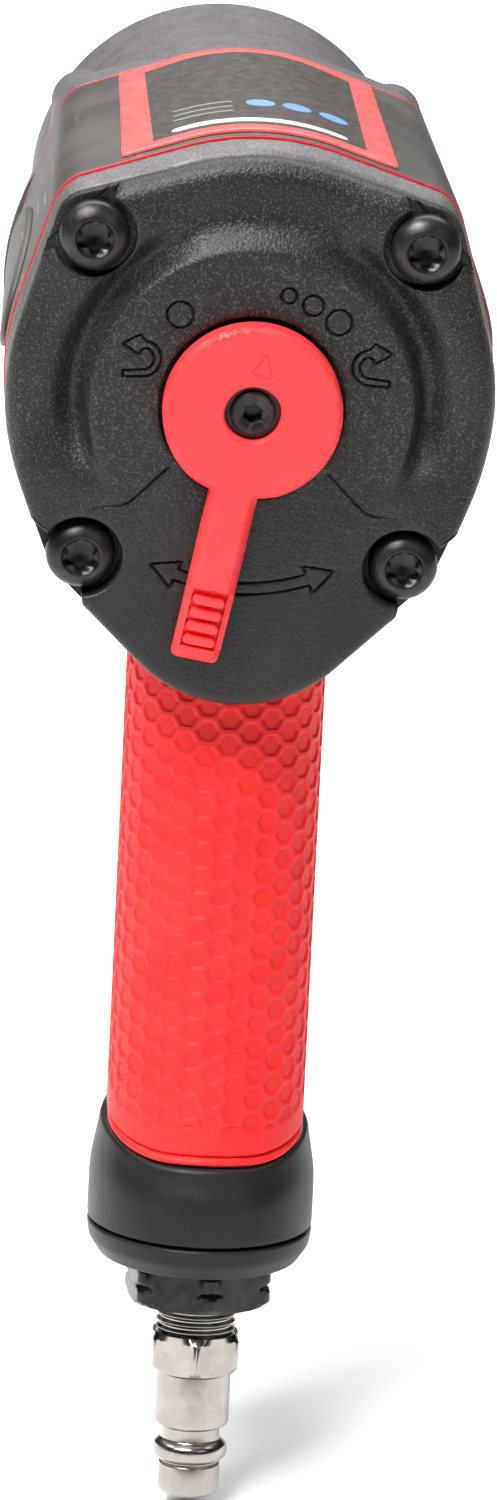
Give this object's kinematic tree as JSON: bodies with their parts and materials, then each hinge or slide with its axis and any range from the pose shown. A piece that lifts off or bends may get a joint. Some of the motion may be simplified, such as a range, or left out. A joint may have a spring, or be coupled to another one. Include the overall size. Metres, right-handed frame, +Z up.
{
  "type": "pneumatic impact wrench",
  "caption": "Pistol-grip air impact wrench with a square drive, rear speed and reverse selector, squeeze trigger and quick-connect plug in the handle.",
  "frame": {"origin": "centre of the square drive's end face", "axes": "+Y out of the nose along the drive's axis, +Z up towards the top of the tool, +X to the right for a person standing behind the tool"},
  "size_m": [0.0785, 0.1911, 0.2276],
  "materials": {
    "grey_casting": "satin grey, fine cast grain",
    "jacket_plastic": "semi-gloss black, lightly scuffed",
    "trim_plastic": "glossy red",
    "label_sheet": "salmon red border round a dark grey field",
    "gasket_fibre": "pressed fibre",
    "cover_plastic": "black with a fine grain",
    "black_oxide_steel": "black oxide, oiled",
    "selector_plastic": "bright red, satin",
    "hard_steel": "ground",
    "seal_rubber": "black",
    "vane_fibre": "fibre-filled resin",
    "bronze": "sintered bronze",
    "grip_rubber": "red, moulded hexagon relief",
    "trigger_plastic": "red, satin",
    "base_plastic": "black, semi-gloss",
    "felt": "grey felt",
    "plug_steel": "nickel-plated steel, turned"
  },
  "bodies": {
    "housing": {"motor_housing": "grey_casting", "housing_jacket": "jacket_plastic", "rear_trim": "trim_plastic", "front_trim": "trim_plastic", "nameplate": "label_sheet", "badge_left": "jacket_plastic", "badge_right": "jacket_plastic", "rear_gasket": "gasket_fibre", "case_gasket": "gasket_fibre", "rear_cover": "cover_plastic", "rear_bolt_1": "black_oxide_steel", "rear_bolt_2": "black_oxide_steel", "rear_bolt_3": "black_oxide_steel", "rear_bolt_4": "black_oxide_steel", "detent_ball": "hard_steel", "detent_spring": "hard_steel", "rear_end_plate": "hard_steel", "rear_bearing": "hard_steel", "cylinder": "hard_steel", "cylinder_dowel": "hard_steel", "front_end_plate": "hard_steel", "front_bearing": "hard_steel", "hammer_case": "grey_casting", "anvil_bushing": "bronze", "nose_seal": "seal_rubber", "grip": "grip_rubber", "trigger_bushing": "bronze", "throttle_seat": "bronze", "throttle_spring": "hard_steel", "base_collar": "base_plastic", "exhaust_deflector": "base_plastic", "muffler": "felt", "inlet_bushing": "black_oxide_steel", "inlet_o_ring": "seal_rubber", "inlet_screen": "hard_steel", "air_plug": "plug_steel"},
    "selector": {"selector_knob": "selector_plastic", "selector_screw": "black_oxide_steel", "reverse_valve": "hard_steel", "valve_o_ring": "seal_rubber"},
    "trigger": {"trigger": "trigger_plastic", "trigger_rod": "hard_steel"},
    "throttle": {"throttle_valve": "hard_steel"},
    "motor_rotor": {"rotor": "hard_steel", "vane_1": "vane_fibre", "vane_2": "vane_fibre", "vane_3": "vane_fibre", "vane_4": "vane_fibre", "vane_5": "vane_fibre", "vane_6": "vane_fibre", "hammer_cage": "hard_steel", "hammer_pin_1": "hard_steel", "hammer_pin_2": "hard_steel"},
    "rear_hammer": {"hammer_rear": "hard_steel"},
    "front_hammer": {"hammer_front": "hard_steel"},
    "drive": {"anvil": "black_oxide_steel", "retainer_ring": "hard_steel"}
  },
  "joints": [
    {"name": "selector_turn", "type": "hinge", "parent": "housing", "child": "selector", "pos_m": [0, -0.184, 0], "axis": [0, 1, 0], "range_deg": [-48.6, 31.4]},
    {"name": "trigger_pull", "type": "slide", "parent": "housing", "child": "trigger", "axis": [0, -0.9848, 0.1736], "range_m": [0, 0.005], "stiffness_N_per_m": 1200, "springref_m": -0.005},
    {"name": "throttle_tilt", "type": "hinge", "parent": "housing", "child": "throttle", "pos_m": [0, -0.15801, -0.09095], "axis": [1, 0, 0], "range_deg": [0, 9.3], "deforming": ["throttle_spring"]},
    {"name": "rotor_spin", "type": "hinge", "parent": "housing", "child": "motor_rotor", "pos_m": [0, -0.14, 0], "axis": [0, 1, 0], "continuous": true},
    {"name": "drive_spin", "type": "hinge", "parent": "housing", "child": "drive", "pos_m": [0, -0.03, 0], "axis": [0, 1, 0], "continuous": true},
    {"name": "rear_hammer_swing", "type": "hinge", "parent": "motor_rotor", "child": "rear_hammer", "pos_m": [0, -0.0854, 0.021], "axis": [0, 1, 0], "range_deg": [-8, 8]},
    {"name": "front_hammer_swing", "type": "hinge", "parent": "motor_rotor", "child": "front_hammer", "pos_m": [0, -0.0646, -0.021], "axis": [0, 1, 0], "range_deg": [-8, 8]}
  ],
  "couplings": [
    {"joint": "throttle_tilt", "follows": "trigger_pull", "rad_per_m": 32.1},
    {"joint": "drive_spin", "follows": "rotor_spin", "ratio": 1}
  ]
}
